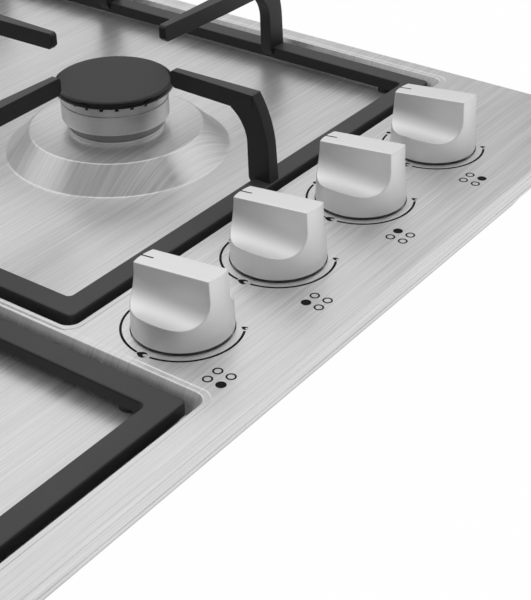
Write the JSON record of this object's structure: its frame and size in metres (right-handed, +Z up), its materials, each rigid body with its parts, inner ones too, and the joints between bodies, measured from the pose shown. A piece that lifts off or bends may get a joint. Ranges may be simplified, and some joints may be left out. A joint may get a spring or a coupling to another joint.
{
  "type": "built-in gas cooktop",
  "caption": "Built-in gas cooktop: pressed steel panel with recessed cast-iron pan supports, lift-off burners, push-and-turn knobs, taps, pipes and a base tray.",
  "frame": {"origin": "centre of the base tray's underside, which is the lowest point", "axes": "+X to the user's right, +Y to the back, +Z up; the worktop's surface is at z = 0.048"},
  "size_m": [0.59, 0.51, 0.0925],
  "materials": {
    "stainless_steel": "brushed along the width",
    "galvanised_steel": "dull zinc-coated sheet",
    "zinc_steel": "bright zinc plate",
    "spring_steel": "drawn wire",
    "cast_iron": "matt black enamel on casting",
    "cap_enamel": "satin black enamel",
    "crown_aluminium": "satin machined",
    "cup_aluminium": "as cast",
    "pipe_aluminium": "drawn",
    "knob_satin": "satin silver plated",
    "brass": "machined",
    "copper_tube": "drawn copper",
    "ceramic_white": "unglazed",
    "seal_foam": "closed-cell foam strip",
    "rubber_black": "matt",
    "plastic_black": "moulded",
    "plastic_white": "moulded",
    "lead_silicone": "silicone sleeve",
    "lead_pvc": "plastic insulation"
  },
  "bodies": {
    "root": {"top_panel": "stainless_steel", "base_tray": "galvanised_steel", "worktop_seal": "seal_foam", "tray_fixings": "zinc_steel", "cup_fixings": "zinc_steel", "injectors": "brass", "spark_electrodes": "ceramic_white", "thermocouples": "copper_tube", "tap_bonnets": "zinc_steel", "magnet_units": "brass", "tap_screws": "zinc_steel", "gas_rail": "galvanised_steel", "supply_pipe": "galvanised_steel", "gas_inlet_fitting": "brass", "feed_pipes": "pipe_aluminium", "union_nuts": "brass", "spark_leads": "lead_silicone", "ignition_switches": "plastic_black", "wiring_leads": "lead_pvc", "ignition_module": "plastic_black", "terminal_block": "plastic_white", "cord_grommet": "rubber_black", "fixing_clamps": "zinc_steel", "clamp_screws": "zinc_steel", "front_left_burner_cup": "cup_aluminium", "back_left_burner_cup": "cup_aluminium", "back_right_burner_cup": "cup_aluminium", "front_right_burner_cup": "cup_aluminium", "tap_body_1": "brass", "tap_body_2": "brass", "tap_body_3": "brass", "tap_body_4": "brass"},
    "plug_1": {"tap_plug_1": "brass", "stem_spring_1": "spring_steel"},
    "knob_1": {"control_knob_1": "knob_satin", "tap_stem_1": "zinc_steel"},
    "plug_2": {"tap_plug_2": "brass", "stem_spring_2": "spring_steel"},
    "knob_2": {"control_knob_2": "knob_satin", "tap_stem_2": "zinc_steel"},
    "plug_3": {"tap_plug_3": "brass", "stem_spring_3": "spring_steel"},
    "knob_3": {"control_knob_3": "knob_satin", "tap_stem_3": "zinc_steel"},
    "plug_4": {"tap_plug_4": "brass", "stem_spring_4": "spring_steel"},
    "knob_4": {"control_knob_4": "knob_satin", "tap_stem_4": "zinc_steel"},
    "crown_front_left": {"front_left_burner_crown": "crown_aluminium"},
    "cap_front_left": {"front_left_burner_cap": "cap_enamel"},
    "crown_back_left": {"back_left_burner_crown": "crown_aluminium"},
    "cap_back_left": {"back_left_burner_cap": "cap_enamel"},
    "crown_back_right": {"back_right_burner_crown": "crown_aluminium"},
    "cap_back_right": {"back_right_burner_cap": "cap_enamel"},
    "crown_front_right": {"front_right_burner_crown": "crown_aluminium"},
    "cap_front_right": {"front_right_burner_cap": "cap_enamel"},
    "left_support": {"left_pan_support": "cast_iron", "left_support_feet": "rubber_black"},
    "right_support": {"right_pan_support": "cast_iron", "right_support_feet": "rubber_black"}
  },
  "joints": [
    {"name": "knob_turn_1", "type": "hinge", "parent": "root", "child": "plug_1", "pos_m": [0.0277, -0.2012, 0.03], "axis": [0, 0, 1], "range_deg": [0, 211]},
    {"name": "knob_push_1", "type": "slide", "parent": "plug_1", "child": "knob_1", "axis": [0, 0, -1], "range_m": [0, 0.003], "stiffness_N_per_m": 1500, "springref_m": -0.002, "deforming": ["stem_spring_1"]},
    {"name": "knob_turn_2", "type": "hinge", "parent": "root", "child": "plug_2", "pos_m": [0.0893, -0.2012, 0.03], "axis": [0, 0, 1], "range_deg": [0, 211]},
    {"name": "knob_push_2", "type": "slide", "parent": "plug_2", "child": "knob_2", "axis": [0, 0, -1], "range_m": [0, 0.003], "stiffness_N_per_m": 1500, "springref_m": -0.002, "deforming": ["stem_spring_2"]},
    {"name": "knob_turn_3", "type": "hinge", "parent": "root", "child": "plug_3", "pos_m": [0.1509, -0.2012, 0.03], "axis": [0, 0, 1], "range_deg": [0, 211]},
    {"name": "knob_push_3", "type": "slide", "parent": "plug_3", "child": "knob_3", "axis": [0, 0, -1], "range_m": [0, 0.003], "stiffness_N_per_m": 1500, "springref_m": -0.002, "deforming": ["stem_spring_3"]},
    {"name": "knob_turn_4", "type": "hinge", "parent": "root", "child": "plug_4", "pos_m": [0.2125, -0.2012, 0.03], "axis": [0, 0, 1], "range_deg": [0, 211]},
    {"name": "knob_push_4", "type": "slide", "parent": "plug_4", "child": "knob_4", "axis": [0, 0, -1], "range_m": [0, 0.003], "stiffness_N_per_m": 1500, "springref_m": -0.002, "deforming": ["stem_spring_4"]},
    {"name": "lift_crown_front_left", "type": "slide", "parent": "root", "child": "crown_front_left", "axis": [0, 0, 1], "range_m": [0, 0.04]},
    {"name": "lift_cap_front_left", "type": "slide", "parent": "crown_front_left", "child": "cap_front_left", "axis": [0, 0, 1], "range_m": [0, 0.03]},
    {"name": "lift_crown_back_left", "type": "slide", "parent": "root", "child": "crown_back_left", "axis": [0, 0, 1], "range_m": [0, 0.04]},
    {"name": "lift_cap_back_left", "type": "slide", "parent": "crown_back_left", "child": "cap_back_left", "axis": [0, 0, 1], "range_m": [0, 0.03]},
    {"name": "lift_crown_back_right", "type": "slide", "parent": "root", "child": "crown_back_right", "axis": [0, 0, 1], "range_m": [0, 0.04]},
    {"name": "lift_cap_back_right", "type": "slide", "parent": "crown_back_right", "child": "cap_back_right", "axis": [0, 0, 1], "range_m": [0, 0.03]},
    {"name": "lift_crown_front_right", "type": "slide", "parent": "root", "child": "crown_front_right", "axis": [0, 0, 1], "range_m": [0, 0.04]},
    {"name": "lift_cap_front_right", "type": "slide", "parent": "crown_front_right", "child": "cap_front_right", "axis": [0, 0, 1], "range_m": [0, 0.03]},
    {"name": "lift_left_support", "type": "slide", "parent": "root", "child": "left_support", "axis": [0, 0, 1], "range_m": [0, 0.06]},
    {"name": "lift_right_support", "type": "slide", "parent": "root", "child": "right_support", "axis": [0, 0, 1], "range_m": [0, 0.06]}
  ]
}
